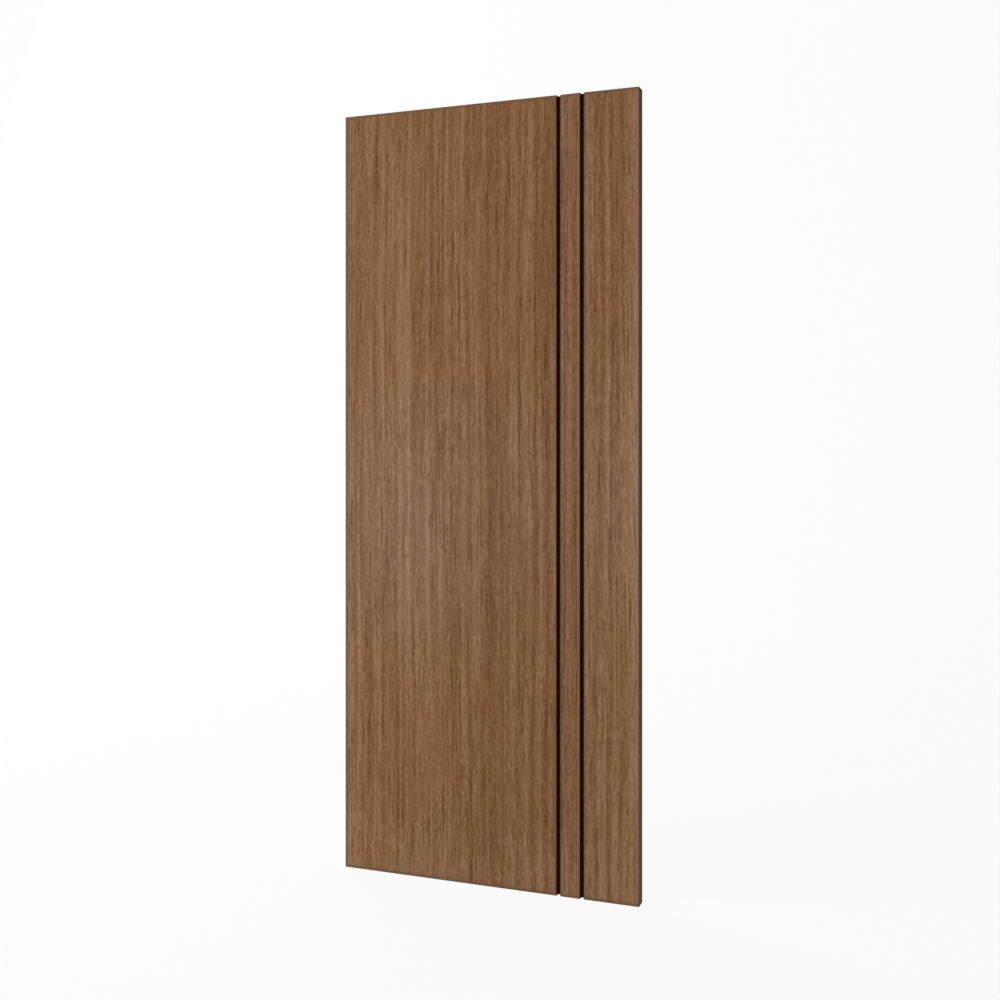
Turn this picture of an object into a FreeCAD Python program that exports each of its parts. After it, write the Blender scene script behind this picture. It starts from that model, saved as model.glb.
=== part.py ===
import FreeCAD, Part
import os
import Sketcher
from enum import IntEnum

# Interior door leaf, faced in wood-grain uPVC sheet, with two dark shadow grooves that run
# from the bottom edge to the top edge near the lock side, the same on both faces.
#
# The leaf is a glued sandwich. Three full-height stiles and four short rails, all bars of
# wood-plastic composite, make the carcass. Foam fills its two bays, foamed sheets close
# both faces, a band wraps each long edge, and a channel-shaped liner sits in every groove.
# The grooves are cut right through the facing sheets and on into the middle stile, which
# stands behind them.
#
# Frame: X runs across the leaf from the hinge edge to the lock edge, Y runs from the front
# face to the back face, Z is up. The origin is on the hinge edge's outer face, at the
# bottom of the leaf and in the middle of its thickness. Sizes are in millimetres.

doc = FreeCAD.newDocument("door_leaf")

# Driving sizes

SIZES = [
    ("leaf_width", "800", "over both edge bands"),
    ("leaf_height", "2000", "bottom edge to top edge"),
    ("leaf_thickness", "35", "front face to back face"),
    ("skin_thickness", "5", "facing sheet on each side"),
    ("band_thickness", "2", "edge band on each long edge"),
    ("band_lip", "1.2", "straight side of the band, before its rounded corner"),
    ("narrow_field", "139", "lock edge to the outer groove"),
    ("slat_width", "50", "strip between the two grooves"),
    ("groove_width", "11", "between the skins' cut edges"),
    ("groove_depth", "12", "face of the leaf to the back of the liner"),
    ("groove_arris", "0.5", "chamfer on the skins' edges at a groove"),
    ("liner_wall", "1", "wall of the groove liner"),
    ("side_stile_width", "60", "hinge stile and lock stile, without the band"),
    ("middle_stile_margin", "20", "middle stile beyond each outermost groove wall"),
    ("top_rail_height", "60", "top rails"),
    ("bottom_rail_height", "90", "bottom rails"),
]

sheet = doc.addObject("Spreadsheet::Sheet", "Sizes")
for row, (alias, size, note) in enumerate(SIZES, start=1):
    sheet.set(f"A{row}", alias)
    sheet.set(f"B{row}", size)
    sheet.set(f"C{row}", note)
    sheet.setAlias(f"B{row}", alias)
doc.recompute()

# Places that several pieces share, as expressions on the sheet

HALF_THICKNESS = "Sizes.leaf_thickness / 2"
CARCASS_DEPTH = "(Sizes.leaf_thickness - 2 * Sizes.skin_thickness)"
SLOT_DEPTH = "(Sizes.groove_depth - Sizes.skin_thickness)"
GROOVE_PITCH = "(Sizes.slat_width + Sizes.groove_width)"

LOCK_BAND_X = "(Sizes.leaf_width - Sizes.band_thickness)"
NARROW_SKIN_X = "(Sizes.leaf_width - Sizes.narrow_field)"
OUTER_GROOVE_X = f"({NARROW_SKIN_X} - Sizes.groove_width)"
SLAT_X = f"({OUTER_GROOVE_X} - Sizes.slat_width)"
INNER_GROOVE_X = f"({SLAT_X} - Sizes.groove_width)"

HINGE_STILE_X = "Sizes.band_thickness"
WIDE_BAY_X = f"({HINGE_STILE_X} + Sizes.side_stile_width)"
MIDDLE_STILE_X = f"({INNER_GROOVE_X} - Sizes.middle_stile_margin)"
NARROW_BAY_X = f"({NARROW_SKIN_X} + Sizes.middle_stile_margin)"
LOCK_STILE_X = f"({LOCK_BAND_X} - Sizes.side_stile_width)"
CORE_Z = "Sizes.bottom_rail_height"
TOP_RAIL_Z = "(Sizes.leaf_height - Sizes.top_rail_height)"

TOUCHING = 1e-3


class Named(IntEnum):
    """Numbers by which a sketch's constraints name its points and axes."""
    START = 1
    END = 2
    ORIGIN = -1
    VERTICAL_AXIS = -2


# Sketches and features

def value(expression):
    """What an expression on the sheet comes to."""
    return float(sheet.evalExpression(expression))


def start_body(label, x="0", y="0", z="0"):
    """An empty body whose own origin stands at x, y, z of the leaf."""
    body = doc.addObject("PartDesign::Body", label)
    body.Label = label
    for axis, expression in zip("xyz", (x, y, z)):
        body.setExpression(f"Placement.Base.{axis}", expression)
    return body


def plan_sketch(body, name):
    """An empty sketch on the body's XY plane, seen from above."""
    plane = next(part for part in body.Origin.OriginFeatures if part.Role == "XY_Plane")
    sketch = body.newObject("Sketcher::SketchObject", f"{body.Name}_{name}")
    sketch.AttachmentSupport = [(plane, "")]
    sketch.MapMode = "FlatFace"
    return sketch


def closed_outline(sketch, corners):
    """Lines round the corners, joined end to end and each kept level or upright."""
    points = [FreeCAD.Vector(x, y, 0) for x, y in corners]
    count = len(points)
    for index, start in enumerate(points):
        end = points[(index + 1) % count]
        line = sketch.addGeometry(Part.LineSegment(start, end), False)
        direction = "Horizontal" if abs(start.y - end.y) < TOUCHING else "Vertical"
        sketch.addConstraint(Sketcher.Constraint(direction, line))
    for index in range(count):
        follower = (index + 1) % count
        ends = (index, Named.END, follower, Named.START)
        sketch.addConstraint(Sketcher.Constraint("Coincident", *ends))


def measure(sketch, name, direction, from_point, to_point, expression):
    """A named DistanceX or DistanceY between two points, tied to an expression."""
    dimension = Sketcher.Constraint(direction, *from_point, *to_point, value(expression))
    index = sketch.addConstraint(dimension)
    sketch.renameConstraint(index, name)
    sketch.setExpression(f"Constraints.{name}", expression)


def rectangle(sketch, width, depth, left="0", front="0"):
    """A rectangle whose left front corner stands at left, front of the sketch's origin."""
    x0, y0 = value(left), value(front)
    x1, y1 = x0 + value(width), y0 + value(depth)
    closed_outline(sketch, [(x0, y0), (x1, y0), (x1, y1), (x0, y1)])
    front_side, right_side = 0, 1
    left_front = (front_side, Named.START)
    right_front = (right_side, Named.START)
    right_back = (right_side, Named.END)
    origin = (Named.ORIGIN, Named.START)
    measure(sketch, "width", "DistanceX", left_front, right_front, width)
    measure(sketch, "depth", "DistanceY", right_front, right_back, depth)
    measure(sketch, "left", "DistanceX", origin, left_front, left)
    measure(sketch, "front", "DistanceY", origin, left_front, front)


def pad(body, sketch, height):
    """Extrudes the section upwards."""
    feature = body.newObject("PartDesign::Pad", f"{body.Name}_pad")
    feature.Profile = sketch
    feature.setExpression("Length", height)
    sketch.Visibility = False
    doc.recompute()
    return feature


def upright_edges(feature, wanted):
    """Names of the feature's vertical edges whose plan position passes wanted(x, y)."""
    names = []
    for number, edge in enumerate(feature.Shape.Edges, start=1):
        box = edge.BoundBox
        if box.ZLength > TOUCHING and wanted(box.Center.x, box.Center.y):
            names.append(f"Edge{number}")
    return names


def dress(body, kind, base, edges, size_name, expression):
    """A Fillet or Chamfer on the named edges of base."""
    feature = body.newObject(f"PartDesign::{kind}", f"{body.Name}_{kind.lower()}")
    feature.Base = (base, edges)
    feature.setExpression(size_name, expression)
    doc.recompute()


# Pieces

def carcass_bar(label, width, height, x, z="0"):
    """A stile, rail or core of plain section, as deep as the space between the skins."""
    body = start_body(label, x=x, z=z)
    section = plan_sketch(body, "section")
    rectangle(section, width, CARCASS_DEPTH, front=f"-{CARCASS_DEPTH} / 2")
    pad(body, section, height)
    return body


def middle_stile():
    """The stile behind the grooves, slotted on both faces to take the four liners."""
    body = start_body("middle_stile", x=MIDDLE_STILE_X)
    section = plan_sketch(body, "section")
    width = f"{NARROW_BAY_X} - {MIDDLE_STILE_X}"
    rectangle(section, width, CARCASS_DEPTH, front=f"-{CARCASS_DEPTH} / 2")
    bar = pad(body, section, "Sizes.leaf_height")

    slot = plan_sketch(body, "slot")
    rectangle(
        slot,
        "Sizes.groove_width",
        SLOT_DEPTH,
        left="Sizes.middle_stile_margin",
        front=f"-{CARCASS_DEPTH} / 2",
    )
    cut = body.newObject("PartDesign::Pocket", "middle_stile_slot_cut")
    cut.Profile = slot
    cut.Type = "ThroughAll"
    cut.Reversed = True
    slot.Visibility = False
    doc.recompute()
    if not cut.Shape.Volume < bar.Shape.Volume:
        raise ValueError("the middle stile's slot cuts nothing")

    slots = body.newObject("PartDesign::MultiTransform", "middle_stile_slots")
    slots.Originals = [cut]
    second = body.newObject("PartDesign::LinearPattern", "middle_stile_second_slot")
    second.Direction = (section, ["H_Axis"])
    second.setExpression("Length", GROOVE_PITCH)
    second.Occurrences = 2
    on_back = body.newObject("PartDesign::Mirrored", "middle_stile_back_slots")
    on_back.MirrorPlane = (section, ["H_Axis"])
    slots.Transformations = [second, on_back]
    body.Tip = slots
    doc.recompute()
    return body


def skin(face, name, width, x, groove_sides):
    """A facing sheet, with the edges that meet a groove eased on its outer face."""
    y = f"-{HALF_THICKNESS}" if face == "front" else f"{HALF_THICKNESS} - Sizes.skin_thickness"
    body = start_body(f"{face}_skin_{name}", x=x, y=y)
    section = plan_sketch(body, "section")
    rectangle(section, width, "Sizes.skin_thickness")
    plain = pad(body, section, "Sizes.leaf_height")
    box = plain.Shape.BoundBox
    outer_y = box.YMin if face == "front" else box.YMax
    side_x = {"left": box.XMin, "right": box.XMax}

    def meets_a_groove(edge_x, edge_y):
        on_side = any(abs(edge_x - side_x[side]) < TOUCHING for side in groove_sides)
        return on_side and abs(edge_y - outer_y) < TOUCHING

    edges = upright_edges(plain, meets_a_groove)
    dress(body, "Chamfer", plain, edges, "Size", "Sizes.groove_arris")
    return body


def liner(face, name, groove_x):
    """A channel in a groove, open towards its face, with its lips at the foot of the arris.

    It is drawn in the front's groove, about the groove's middle, and turned half round
    for the back.
    """
    body = start_body(f"{face}_liner_{name}", x=f"{groove_x} + Sizes.groove_width / 2")
    if face == "back":
        body.Placement.Rotation = FreeCAD.Rotation(FreeCAD.Vector(0, 0, 1), 180)
    lip_y = f"{HALF_THICKNESS} - Sizes.groove_arris"
    back_y = f"{HALF_THICKNESS} - Sizes.groove_depth"
    outside = value("Sizes.groove_width") / 2
    inside = outside - value("Sizes.liner_wall")
    lip, back = -value(lip_y), -value(back_y)
    floor = back - value("Sizes.liner_wall")

    section = plan_sketch(body, "section")
    closed_outline(section, [
        (-outside, lip), (-inside, lip), (-inside, floor), (inside, floor),
        (inside, lip), (outside, lip), (outside, back), (-outside, back),
    ])
    left_lip, floor_line, right_lip, back_line = 0, 2, 4, 6
    outer_left, inner_left = (left_lip, Named.START), (left_lip, Named.END)
    outer_right = (right_lip, Named.END)
    floor_end, back_start = (floor_line, Named.END), (back_line, Named.START)
    origin = (Named.ORIGIN, Named.START)
    across = Sketcher.Constraint("Symmetric", *outer_left, *outer_right, Named.VERTICAL_AXIS)
    section.addConstraint(across)
    section.addConstraint(Sketcher.Constraint("Equal", left_lip, right_lip))
    measure(section, "width", "DistanceX", outer_left, outer_right, "Sizes.groove_width")
    measure(section, "wall", "DistanceX", outer_left, inner_left, "Sizes.liner_wall")
    measure(section, "web", "DistanceY", floor_end, back_start, "Sizes.liner_wall")
    measure(section, "lip", "DistanceY", outer_left, origin, lip_y)
    measure(section, "back", "DistanceY", back_start, origin, back_y)
    pad(body, section, "Sizes.leaf_height")
    return body


def edge_band(label, x, outer_side):
    """A band over one long edge of the leaf, with both outer corners rounded."""
    body = start_body(label, x=x)
    section = plan_sketch(body, "section")
    rectangle(section, "Sizes.band_thickness", "Sizes.leaf_thickness", front=f"-{HALF_THICKNESS}")
    strip = pad(body, section, "Sizes.leaf_height")
    box = strip.Shape.BoundBox
    outer_x = box.XMin if outer_side == "left" else box.XMax
    edges = upright_edges(strip, lambda edge_x, edge_y: abs(edge_x - outer_x) < TOUCHING)
    dress(body, "Fillet", strip, edges, "Radius", "Sizes.band_thickness - Sizes.band_lip")
    return body


pieces = [
    carcass_bar("hinge_stile", "Sizes.side_stile_width", "Sizes.leaf_height", x=HINGE_STILE_X),
    middle_stile(),
    carcass_bar("lock_stile", "Sizes.side_stile_width", "Sizes.leaf_height", x=LOCK_STILE_X),
]

# The carcass has a wide bay beside the hinge stile and a narrow one beside the lock stile.
BAYS = {
    "wide": (WIDE_BAY_X, MIDDLE_STILE_X),
    "narrow": (NARROW_BAY_X, LOCK_STILE_X),
}
for bay, (start_x, end_x) in BAYS.items():
    width = f"{end_x} - {start_x}"
    pieces += [
        carcass_bar(f"bottom_rail_{bay}", width, "Sizes.bottom_rail_height", x=start_x),
        carcass_bar(f"core_{bay}", width, f"{TOP_RAIL_Z} - {CORE_Z}", x=start_x, z=CORE_Z),
        carcass_bar(f"top_rail_{bay}", width, "Sizes.top_rail_height", x=start_x, z=TOP_RAIL_Z),
    ]

SKINS = {
    "wide": (f"{INNER_GROOVE_X} - {HINGE_STILE_X}", HINGE_STILE_X, ["right"]),
    "slat": ("Sizes.slat_width", SLAT_X, ["left", "right"]),
    "narrow": (f"{LOCK_BAND_X} - {NARROW_SKIN_X}", NARROW_SKIN_X, ["left"]),
}
for face in ("front", "back"):
    pieces += [skin(face, name, *layout) for name, layout in SKINS.items()]
    pieces += [liner(face, "inner", INNER_GROOVE_X), liner(face, "outer", OUTER_GROOVE_X)]

pieces += [
    edge_band("hinge_edge_band", "0", "left"),
    edge_band("lock_edge_band", LOCK_BAND_X, "right"),
]
doc.recompute()

# Checks on every object, then one STEP file for each piece

for item in doc.Objects:
    if "Invalid" in item.State or "Error" in item.State:
        raise ValueError(f"{item.Name} did not build: {item.State}")
for piece in pieces:
    shape = piece.Shape
    if shape.isNull() or not shape.isValid() or len(shape.Solids) != 1:
        raise ValueError(f"{piece.Label} is not one valid solid")

os.makedirs("parts", exist_ok=True)
for piece in pieces:
    piece.Shape.exportStep(f"parts/{piece.Label}.step")
print(f"{len(pieces)} pieces written")
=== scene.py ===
import math

import bpy
import numpy as np
from bpy.props import FloatProperty, FloatVectorProperty, PointerProperty
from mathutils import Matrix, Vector


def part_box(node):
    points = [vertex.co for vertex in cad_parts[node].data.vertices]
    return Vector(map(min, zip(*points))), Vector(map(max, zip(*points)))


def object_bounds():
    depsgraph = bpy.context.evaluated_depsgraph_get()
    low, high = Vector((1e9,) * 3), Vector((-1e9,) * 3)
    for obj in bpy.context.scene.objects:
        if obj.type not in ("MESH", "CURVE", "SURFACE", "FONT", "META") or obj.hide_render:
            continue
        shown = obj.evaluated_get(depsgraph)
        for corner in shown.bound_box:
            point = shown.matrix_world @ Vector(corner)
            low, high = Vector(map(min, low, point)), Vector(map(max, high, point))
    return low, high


bl_info = {
    "name": "Grooved door leaf",
    "version": (1, 0, 0),
    "blender": (4, 5, 0),
    "location": "3D View > Sidebar > Door",
    "description": "Dresses a grooved interior door leaf and sets it in a plain studio",
    "category": "Object",
}

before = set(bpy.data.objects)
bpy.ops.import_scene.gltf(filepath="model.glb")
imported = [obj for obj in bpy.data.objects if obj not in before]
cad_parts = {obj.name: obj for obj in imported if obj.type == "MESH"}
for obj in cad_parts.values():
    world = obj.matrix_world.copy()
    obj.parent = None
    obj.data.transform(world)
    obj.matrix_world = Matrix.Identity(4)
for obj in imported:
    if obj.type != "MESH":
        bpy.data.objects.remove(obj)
CAD_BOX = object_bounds()

# The leaf, as the frame has it, in metres

LOW, HIGH = CAD_BOX
MIDDLE = (LOW + HIGH) / 2
HALF_WIDTH, HALF_THICKNESS, HALF_HEIGHT = (HIGH - LOW) / 2
BAND_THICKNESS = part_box("hinge_edge_band")[1].x - LOW.x
SLAT_LEFT, SLAT_RIGHT = (corner.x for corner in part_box("front_skin_slat"))
SLAT_MIDDLE = (SLAT_LEFT + SLAT_RIGHT) / 2
GROOVE_WIDTH = SLAT_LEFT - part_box("front_skin_wide")[1].x
GROOVE_OFFSET = (SLAT_RIGHT - SLAT_LEFT + GROOVE_WIDTH) / 2  # from the slat's middle to a groove's
MM = 0.001

FACES = ("front", "back")
SKINS = ("wide", "slat", "narrow")
LINERS = ("inner", "outer")
EDGES = ("hinge", "lock")
BARS = (
    "hinge_stile", "middle_stile", "lock_stile",
    "top_rail_wide", "top_rail_narrow", "bottom_rail_wide", "bottom_rail_narrow",
)
CORES = ("core_wide", "core_narrow")

# Layers of the printed grain: width and length in millimetres, seed, and weight in the tone

GRAIN_LAYERS = {
    "fleck": (7.0, 11, 1.0, 0.44),
    "fibre": (6.0, 60, 2.0, 0.32),
    "streak": (6.6, 240, 3.0, 0.33),
    "ribbon": (10.5, 1500, 5.0, 0.66),
    "band": (60, 1800, 8.5, 0.16),
    "hair": (0.7, 14, 10.0, 0.16),
}
GRAIN_LEVEL = 0.63  # tone where every layer is 0 and there is no dark mark
RIM_SHARE = 0.7  # how far a rim's painted shade, and the lock side's painted highlight, cover the print
GLOW_SHARE = 0.94  # of what a camera sees of the paper; the rest is lit, and keeps the shadow

# Sockets of a colour Mix node, by number, because it has several of each name

MIX_FACTOR, MIX_FIRST, MIX_SECOND, MIX_RESULT = 0, 6, 7, 2


# Shader maths

class Wire:
    """A number in a node tree; plain arithmetic on it adds Math nodes."""

    def __init__(self, plan, socket):
        self.plan = plan
        self.socket = socket

    def math(self, operation, *numbers):
        return self.plan.node("ShaderNodeMath", {"operation": operation}, dict(enumerate(numbers)))

    def larger(self, other):
        return self.math("MAXIMUM", self, other)

    def smaller(self, other):
        return self.math("MINIMUM", self, other)

    def __add__(self, other):
        return self.math("ADD", self, other)

    def __sub__(self, other):
        return self.math("SUBTRACT", self, other)

    def __rsub__(self, other):
        return self.math("SUBTRACT", other, self)

    def __mul__(self, other):
        return self.math("MULTIPLY", self, other)

    def __abs__(self):
        return self.math("ABSOLUTE", self)

    __radd__ = __add__
    __rmul__ = __mul__


class Plan:
    """A node tree that is written as expressions."""

    def __init__(self, tree):
        self.tree = tree

    def node(self, kind, settings=(), sockets=(), output=0):
        """Adds a node: its settings first, then a plain value or a Wire for each socket."""
        made = self.tree.nodes.new(kind)
        for name, setting in dict(settings).items():
            if name == "stops":
                set_stops(made.color_ramp, setting)
            else:
                setattr(made, name, setting)
        for name, feed in dict(sockets).items():
            if isinstance(feed, Wire):
                self.tree.links.new(feed.socket, made.inputs[name])
            else:
                made.inputs[name].default_value = feed
        return Wire(self, made.outputs[output])

    def seen(self):
        """1 for what a camera sees, straight or by way of gloss or glass, and 0 for light."""
        rays = ("Is Camera Ray", "Is Glossy Ray", "Is Transmission Ray")
        camera, glossy, through = (self.node("ShaderNodeLightPath", output=ray) for ray in rays)
        return camera.larger(glossy).larger(through)

    def place(self):
        """The point on the object, in metres."""
        return self.node("ShaderNodeTexCoord", output="Object")

    def part(self, point, axis):
        """One coordinate of a point."""
        return self.node("ShaderNodeSeparateXYZ", sockets={"Vector": point}, output=axis)

    def shifted(self, point, **parts):
        """A point moved by a number along each named axis."""
        move = self.node("ShaderNodeCombineXYZ", sockets=parts)
        return self.node("ShaderNodeVectorMath", {"operation": "ADD"}, {0: point, 1: move})

    def noise(self, point, across, along, detail=0.0, seed=0.0):
        """Smooth noise about 0, whose spots are so many metres wide in X and Y, and long in Z."""
        scale = (1 / across, 1 / across, 1 / along)
        stretch = {"Vector": point, "Location": (seed, seed, seed), "Scale": scale}
        vector = self.node("ShaderNodeMapping", sockets=stretch)
        spots = {"Vector": vector, "Scale": 1.0, "Detail": detail}
        return self.node("ShaderNodeTexNoise", sockets=spots) - 0.5

    def step(self, value, low, high):
        """0 up to low, 1 from high on, and smooth between them."""
        limits = {"Value": value, "From Min": low, "From Max": high}
        return self.node("ShaderNodeMapRange", {"interpolation_type": "SMOOTHSTEP"}, limits)

    def fade(self, value, low, high):
        """1 up to low, 0 from high on, and smooth between them."""
        return 1 - self.step(value, low, high)

    def ramp(self, value, stops):
        """The colour that a number stands for, from stops of (number, colour)."""
        return self.node("ShaderNodeValToRGB", {"stops": stops}, {"Fac": value})

    def mix(self, factor, first, second, blend="MIX"):
        """A colour between first and second, or second blended over first."""
        sockets = {MIX_FACTOR: factor, MIX_FIRST: opaque(first), MIX_SECOND: opaque(second)}
        settings = {"data_type": "RGBA", "blend_type": blend}
        return self.node("ShaderNodeMix", settings, sockets, output=MIX_RESULT)

    def bump(self, height, depth):
        """A normal, from a height of about 0 to 1 that stands for so many metres."""
        return self.node("ShaderNodeBump", sockets={"Height": height, "Distance": depth})


class Finish(Plan):
    """A material: a Principled surface and what feeds it."""

    def __init__(self, name, roughness, gloss):
        self.material = bpy.data.materials.new(name)
        self.material.use_nodes = True
        super().__init__(self.material.node_tree)
        self.roughness = roughness
        self.surface = self.tree.nodes["Principled BSDF"]
        self.surface.inputs["Roughness"].default_value = roughness
        self.surface.inputs["Specular IOR Level"].default_value = gloss

    def feed(self, **wires):
        """Links wires to the surface's own sockets, spaces in their names as underscores."""
        for name, wire in wires.items():
            self.tree.links.new(wire.socket, self.surface.inputs[name.replace("_", " ")])


def set_stops(ramp, stops):
    """Gives a colour ramp its stops."""
    while len(ramp.elements) < len(stops):
        ramp.elements.new(1.0)
    for element, (position, colour) in zip(ramp.elements, stops):
        element.position = position
        element.color = opaque(colour)


def opaque(colour):
    """A wire as it is, or a colour's three parts with an alpha of 1."""
    return colour if isinstance(colour, Wire) else (*colour, 1.0)


# Finishes

def grain_tone(plan, here):
    """How pale the printed grain is at a point, and how strong its dark marks are, from 0 to 1.

    The tone is a sum of noises drawn out along Z, from fine hairs and flecks to bands as
    long as the leaf, less the dark marks: long threads and short pores. The point sways
    a little from side to side first, so that the grain isn't quite straight.
    """
    sway = plan.noise(here, 140 * MM, 600 * MM, seed=4.0) * (14 * MM)
    wobble = plan.noise(here, 22 * MM, 90 * MM, seed=6.0) * (1.6 * MM)
    grain = plan.shifted(here, X=sway + wobble, Y=sway)

    layers = {}
    tone = GRAIN_LEVEL
    for name, (across, along, seed, weight) in GRAIN_LAYERS.items():
        layers[name] = plan.noise(grain, across * MM, along * MM, seed=seed)
        tone = tone + weight * layers[name]

    thread_noise = plan.noise(grain, 4.6 * MM, 110 * MM, seed=8.0) + 0.4 * layers["fibre"]
    pore_noise = plan.noise(grain, 1.8 * MM, 20 * MM, seed=9.0) + 0.15 * layers["streak"]
    thread = plan.step(thread_noise, 0.11, 0.24)
    pore = plan.step(pore_noise, 0.03, 0.13)
    return tone - 0.31 * thread - 0.18 * pore, thread.larger(pore)


def wood_grain(name, colours, roughness, gloss):
    """Walnut print on foil, with the cut board showing at the leaf's two ends.

    Painted light and shade lie on the print: a painted sheen near the lock side, painted light
    towards the foot, and painted shade on the wide skin towards the grooves. A rim of painted
    shade runs along the ends, the hinge side and the grooves, and one of painted highlight along
    the lock side. The narrow sides get painted shade, and a dark line marks the joint between
    skin and band.
    """
    foil = Finish(name, roughness, gloss)
    here = foil.place()
    x, y, z = (foil.part(here, axis) for axis in "XYZ")
    from_end = HALF_HEIGHT - abs(z - MIDDLE.z)
    from_long_side = HALF_WIDTH - abs(x - MIDDLE.x)
    from_hinge_side, from_lock_side = x - LOW.x, HIGH.x - x
    from_groove = abs(abs(x - SLAT_MIDDLE) - GROOVE_OFFSET) - GROOVE_WIDTH / 2
    before_slat = SLAT_LEFT - x

    tone, mark = grain_tone(foil, here)
    # Painted light: a painted sheen near the lock side, painted light towards the foot and painted shade
    # on the wide skin towards the grooves shift the grain's tone
    painted_lock_sheen = foil.fade(from_lock_side, 20 * MM, 75 * MM)
    painted_foot_light = foil.fade(z - LOW.z, 0, 220 * MM)
    on_wide_skin = foil.step(before_slat, 4 * MM, 8 * MM)
    painted_flank_shade = on_wide_skin * foil.fade(before_slat, 180 * MM, 380 * MM)
    painted_light_drift = 0.14 * painted_lock_sheen + 0.14 * painted_foot_light - 0.065 * painted_flank_shade
    stops = [(0.0, colours.dark), (0.5, colours.middle), (1.0, colours.pale)]
    printed = foil.ramp(tone + painted_light_drift, stops)

    # Painted highlight along the lock side
    painted_lock_highlight = foil.fade(from_lock_side, 3 * MM, 8 * MM)
    # Painted shade along the ends, the hinge side and beside the grooves
    painted_outer_shade = foil.fade(from_end.smaller(from_hinge_side), 6 * MM, 10 * MM)
    painted_groove_shade = foil.fade(from_groove, 0, 5 * MM)
    paler = foil.mix(RIM_SHARE * painted_lock_highlight, printed, colours.painted_lock_highlight)
    darker = foil.mix(RIM_SHARE * painted_outer_shade.larger(painted_groove_shade), paler, colours.rim)

    # Painted shade: the narrow sides, and all else more than about 0.9 mm behind the faces, are darkened
    # by the edge shade
    narrow_side = foil.fade(abs(y), HALF_THICKNESS - 0.9 * MM, HALF_THICKNESS - 0.4 * MM)
    joint = foil.fade(abs(from_long_side - BAND_THICKNESS), 0.1 * MM, 0.3 * MM)
    shaded = foil.mix(narrow_side, darker, (colours.edge_shade,) * 3, blend="MULTIPLY")
    jointed = foil.mix(0.6 * joint, shaded, Vector(colours.dark) * 0.4)

    cut = foil.fade(from_end, 0.02 * MM, 0.05 * MM)
    cells = foil.noise(here, 0.7 * MM, 0.7 * MM, detail=2.0)
    board = foil.ramp(cells + 0.5, [(0.3, (0.40, 0.30, 0.20)), (0.7, (0.56, 0.45, 0.32))])
    foil.feed(
        Base_Color=foil.mix(cut, jointed, board),
        Roughness=foil.roughness + 0.06 * mark + 0.45 * cut,
        Normal=foil.bump(0.5 * tone - 0.6 * mark - joint, 0.05 * MM),
    )
    return foil.material


def black_liner(colour):
    """Extruded satin plastic, with faint lines along the channel."""
    plastic = Finish("black_liner", roughness=0.5, gloss=0.15)
    lines = plastic.noise(plastic.place(), 0.8 * MM, 400 * MM, detail=1.0)
    black = Vector(colour)
    plastic.feed(
        Base_Color=plastic.ramp(lines + 0.5, [(0.3, black * 0.7), (0.7, black * 1.3)]),
        Roughness=plastic.roughness + 0.3 * lines,
        Normal=plastic.bump(lines, 0.03 * MM),
    )
    return plastic.material


def sawn_composite(colour):
    """Wood and plastic pressed into bars: speckled with wood flour, sawn across at the ends."""
    bar = Finish("sawn_composite", roughness=0.75, gloss=0.3)
    here = bar.place()
    flour = bar.noise(here, 1.1 * MM, 1.4 * MM, detail=2.0)
    cloud = bar.noise(here, 25 * MM, 60 * MM, detail=1.0)
    kerf = bar.noise(here, 90 * MM, 1.5 * MM, seed=3.0)
    tone = 0.5 + 0.9 * flour + 0.5 * cloud + 0.2 * kerf
    tan = Vector(colour)
    bar.feed(
        Base_Color=bar.ramp(tone, [(0.2, tan * 0.62), (0.5, tan), (0.85, tan * 1.4)]),
        Roughness=bar.roughness + 0.3 * flour,
        Normal=bar.bump(flour + 0.5 * kerf, 0.25 * MM),
    )
    return bar.material


def cellular_foam(colour):
    """Rigid foam: small pale cells."""
    foam = Finish("cellular_foam", roughness=0.9, gloss=0.2)
    here = foam.place()
    cells = foam.node("ShaderNodeTexVoronoi", sockets={"Vector": here, "Scale": 1 / (1.6 * MM)})
    cloud = foam.noise(here, 30 * MM, 30 * MM, detail=1.0)
    tone = 0.75 - 0.35 * cells + 0.4 * cloud
    pale = Vector(colour)
    foam.feed(
        Base_Color=foam.ramp(tone, [(0.2, pale * 0.7), (0.8, pale)]),
        Roughness=foam.roughness - 0.1 * cells,
        Normal=foam.bump(1 - cells, 0.4 * MM),
    )
    return foam.material


def studio_paper(white):
    """Pale paper, which a camera sees as nearly white, with a trace of the shade on it."""
    paper = Finish("studio_paper", roughness=0.9, gloss=0.0)
    mottle = paper.noise(paper.place(), 0.7, 0.7)
    greys = [(0.2, (0.79, 0.79, 0.79)), (0.8, (0.81, 0.81, 0.81))]
    paper.feed(Base_Color=paper.ramp(mottle + 0.5, greys))
    glow = paper.node("ShaderNodeEmission", sockets={"Strength": white})
    lit = Wire(paper, paper.surface.outputs["BSDF"])
    glowing = GLOW_SHARE * paper.seen()
    shown = paper.node("ShaderNodeMixShader", sockets={0: glowing, 1: lit, 2: glow})
    paper.tree.links.new(shown.socket, paper.tree.nodes["Material Output"].inputs["Surface"])
    return paper.material


# Stage pieces

def grid_object(name, points):
    """An object whose faces join neighbours in a rows by columns array of points."""
    rows, columns = points.shape[:2]
    number = np.arange(rows * columns).reshape(rows, columns)
    corners = np.stack([number[:-1, :-1], number[1:, :-1], number[1:, 1:], number[:-1, 1:]], axis=-1)
    mesh = bpy.data.meshes.new(name)
    mesh.from_pydata(points.reshape(-1, 3), [], corners.reshape(-1, 4))
    mesh.shade_smooth()
    made = bpy.data.objects.new(name, mesh)
    bpy.context.scene.collection.objects.link(made)
    return made


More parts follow.
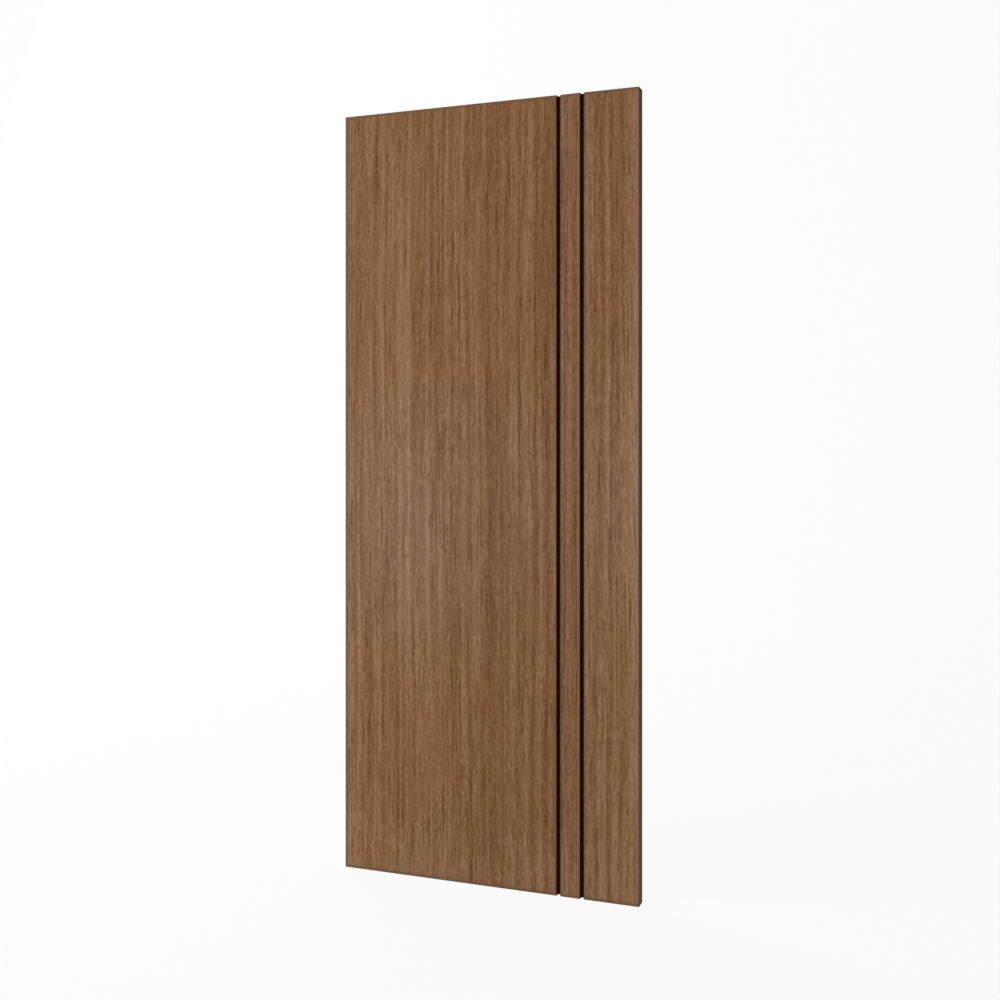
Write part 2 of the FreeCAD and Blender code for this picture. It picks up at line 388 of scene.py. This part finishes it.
def studio_cove():
    """A floor that sweeps up into a backdrop.

    Its section runs level to the back, turns up through a quarter circle and rises
    plumb: y = back + r sin t and z = r (1 - cos t) on the turn. The section is carried
    along X.
    """
    reach, front, back, radius, wall = 9.0, -9.0, 3.5, 1.5, 7.0
    turn = np.linspace(0, math.pi / 2, 25)
    section_y = np.concatenate([[front], back + radius * np.sin(turn), [back + radius]])
    section_z = np.concatenate([[0.0], radius * (1 - np.cos(turn)), [wall]]) + LOW.z
    along = MIDDLE.x + np.linspace(-reach, reach, 13)
    x, y = np.meshgrid(along, section_y, indexing="ij")
    z = np.broadcast_to(section_z, x.shape)
    return grid_object("studio_cove", np.stack([x, y, z], axis=-1))


def softbox(name, place, width, height, brightness):
    """A rectangular lamp that faces the leaf; brightness is what a camera would see of it."""
    lamp = bpy.data.lights.new(name, "AREA")
    lamp.shape = "RECTANGLE"
    lamp.size, lamp.size_y = width, height
    lamp.energy = brightness * math.pi * width * height
    holder = bpy.data.objects.new(name, lamp)
    holder.location = place
    holder.rotation_euler = (MIDDLE - holder.location).to_track_quat("-Z", "Y").to_euler()
    holder.visible_camera = False
    bpy.context.scene.collection.objects.link(holder)


def studio_world(strength, white):
    """An even sky: weak as light, and white where a camera sees it."""
    world = bpy.data.worlds.new("studio")
    world.use_nodes = True
    sky = Plan(world.node_tree)
    level = strength + (white - strength) * sky.seen()
    background = sky.tree.nodes["Background"]
    background.inputs["Color"].default_value = (1.0, 1.0, 1.0, 1.0)
    sky.tree.links.new(level.socket, background.inputs["Strength"])
    return world


def dress(node, material):
    """Puts a material on a CAD node."""
    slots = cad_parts[node].data.materials
    slots.clear()
    slots.append(material)


# Settings

class DoorColours(bpy.types.PropertyGroup):
    """Colours of the leaf's finishes, and of the painted light and shade on its print."""
    dark: FloatVectorProperty(
        name="Dark grain", description="Darkest streaks of the print",
        subtype="COLOR", size=3, min=0, max=1, default=(0.096, 0.031, 0.004))
    middle: FloatVectorProperty(
        name="Grain", description="Most of the print",
        subtype="COLOR", size=3, min=0, max=1, default=(0.179, 0.082, 0.029))
    pale: FloatVectorProperty(
        name="Pale grain", description="Palest streaks of the print",
        subtype="COLOR", size=3, min=0, max=1, default=(0.281, 0.157, 0.081))
    # Painted shade along the ends, the hinge side and the grooves
    rim: FloatVectorProperty(
        name="Rim", description="Print along the ends, the hinge side and the grooves",
        subtype="COLOR", size=3, min=0, max=1, default=(0.134, 0.073, 0.033))
    # Painted highlight along the lock side
    painted_lock_highlight: FloatVectorProperty(
        name="Lock rim", description="Print along the lock side",
        subtype="COLOR", size=3, min=0, max=1, default=(0.221, 0.132, 0.074))
    liner: FloatVectorProperty(
        name="Liner", description="Plastic in the grooves",
        subtype="COLOR", size=3, min=0, max=1, default=(0.022, 0.006, 0.002))
    bars: FloatVectorProperty(
        name="Bars", description="Stiles and rails",
        subtype="COLOR", size=3, min=0, max=1, default=(0.36, 0.245, 0.145))
    foam: FloatVectorProperty(
        name="Foam", description="Filling of the two bays",
        subtype="COLOR", size=3, min=0, max=1, default=(0.78, 0.76, 0.68))
    # Painted shade on the narrow sides
    edge_shade: FloatProperty(
        name="Edge shade", description="How pale the narrow sides are beside the faces",
        subtype="FACTOR", min=0, max=1, default=0.55)


class DoorStage(bpy.types.PropertyGroup):
    """The camera and the light."""
    eye: FloatVectorProperty(
        name="Eye", description="Place of the camera",
        subtype="TRANSLATION", size=3, default=(1.4702, -2.8362, 1.1351))
    turn: FloatProperty(
        name="Turn", description="Turn of the camera to the left of the Y axis",
        subtype="ANGLE", default=math.radians(20.09))
    lens: FloatProperty(
        name="Lens", description="Focal length on a 36 mm sensor",
        min=1, default=42.51)
    shift: FloatProperty(
        name="Shift", description="Upward shift of the view, as a share of its width",
        default=-0.0586)
    white: FloatProperty(
        name="White", description="How bright the background is, where 1 is pure white",
        subtype="FACTOR", min=0, max=1, default=0.985)
    sky: FloatProperty(
        name="Sky", description="Strength of the even light from all sides",
        min=0, default=0.36)
    key: FloatProperty(
        name="Key", description="Brightness of the large lamps at the front left and the back left",
        min=0, default=22.0)
    gleam: FloatProperty(
        name="Gleam", description="Brightness of the two upright lamps that gleam on the front",
        min=0, default=11.0)


# Steps

class DOOR_OT_dress_faces(bpy.types.Operator):
    """Put the walnut print on the skins of both faces"""
    bl_idname = "door.dress_faces"
    bl_label = "Dress faces"

    def execute(self, context):
        foil = wood_grain("walnut_foil", context.scene.door_colours, roughness=0.21, gloss=0.18)
        for face in FACES:
            for skin in SKINS:
                dress(f"{face}_skin_{skin}", foil)
        return {"FINISHED"}


class DOOR_OT_dress_edges(bpy.types.Operator):
    """Put the print, duller and with painted shade on its narrow side, on the bands of the long edges"""
    bl_idname = "door.dress_edges"
    bl_label = "Dress edges"

    def execute(self, context):
        colours = context.scene.door_colours
        band = wood_grain("walnut_band", colours, roughness=0.65, gloss=0.05)
        for edge in EDGES:
            dress(f"{edge}_edge_band", band)
        return {"FINISHED"}


class DOOR_OT_line_grooves(bpy.types.Operator):
    """Make the liners of the grooves black"""
    bl_idname = "door.line_grooves"
    bl_label = "Line grooves"

    def execute(self, context):
        plastic = black_liner(context.scene.door_colours.liner)
        for face in FACES:
            for liner in LINERS:
                dress(f"{face}_liner_{liner}", plastic)
        return {"FINISHED"}


class DOOR_OT_dress_carcass(bpy.types.Operator):
    """Give the stiles and rails their sawn finish"""
    bl_idname = "door.dress_carcass"
    bl_label = "Dress carcass"

    def execute(self, context):
        composite = sawn_composite(context.scene.door_colours.bars)
        for bar in BARS:
            dress(bar, composite)
        return {"FINISHED"}


class DOOR_OT_fill_bays(bpy.types.Operator):
    """Give the filling of the two bays its foam"""
    bl_idname = "door.fill_bays"
    bl_label = "Fill bays"

    def execute(self, context):
        foam = cellular_foam(context.scene.door_colours.foam)
        for core in CORES:
            dress(core, foam)
        return {"FINISHED"}


class DOOR_OT_set_stage(bpy.types.Operator):
    """Put in the floor with its backdrop, the light and the camera"""
    bl_idname = "door.set_stage"
    bl_label = "Set stage"

    def execute(self, context):
        scene = context.scene
        stage = scene.door_stage
        cove = studio_cove()
        cove.data.materials.append(studio_paper(stage.white))

        scene.world = studio_world(stage.sky, stage.white)
        softbox("key", (-9.0, -5.8, 4.2), width=4.2, height=4.2, brightness=stage.key)
        softbox("back_key", (-6.5, 3.8, 3.6), width=2.4, height=2.4, brightness=0.95 * stage.key)
        softbox("left_gleam", (-1.61, -4.0, 0.72), width=0.16, height=1.4, brightness=1.25 * stage.gleam)
        softbox("right_gleam", (-0.10, -4.0, 0.88), width=0.16, height=1.2, brightness=stage.gleam)

        lens = bpy.data.cameras.new("camera")
        lens.lens = stage.lens
        lens.shift_y = stage.shift
        camera = bpy.data.objects.new("camera", lens)
        camera.location = stage.eye
        camera.rotation_euler = (math.pi / 2, 0.0, stage.turn)
        scene.collection.objects.link(camera)
        scene.camera = camera
        return {"FINISHED"}


class DOOR_PT_steps(bpy.types.Panel):
    """The steps that dress the door leaf"""
    bl_label = "Door leaf"
    bl_space_type = "VIEW_3D"
    bl_region_type = "UI"
    bl_category = "Door"

    def draw(self, context):
        for step in STEPS:
            self.layout.operator(step.bl_idname)


STEPS = (
    DOOR_OT_dress_faces, DOOR_OT_dress_edges, DOOR_OT_line_grooves,
    DOOR_OT_dress_carcass, DOOR_OT_fill_bays, DOOR_OT_set_stage,
)
CLASSES = (DoorColours, DoorStage, *STEPS, DOOR_PT_steps)


def register():
    for item in CLASSES:
        bpy.utils.register_class(item)
    bpy.types.Scene.door_colours = PointerProperty(type=DoorColours)
    bpy.types.Scene.door_stage = PointerProperty(type=DoorStage)


def unregister():
    del bpy.types.Scene.door_stage
    del bpy.types.Scene.door_colours
    for item in reversed(CLASSES):
        bpy.utils.unregister_class(item)


def main():
    register()
    bpy.context.scene.view_settings.view_transform = "Standard"
    bpy.ops.door.dress_faces()
    bpy.ops.door.dress_edges()
    bpy.ops.door.line_grooves()
    bpy.ops.door.dress_carcass()
    bpy.ops.door.fill_bays()
    bpy.ops.door.set_stage()


if __name__ == "__main__":
    main()
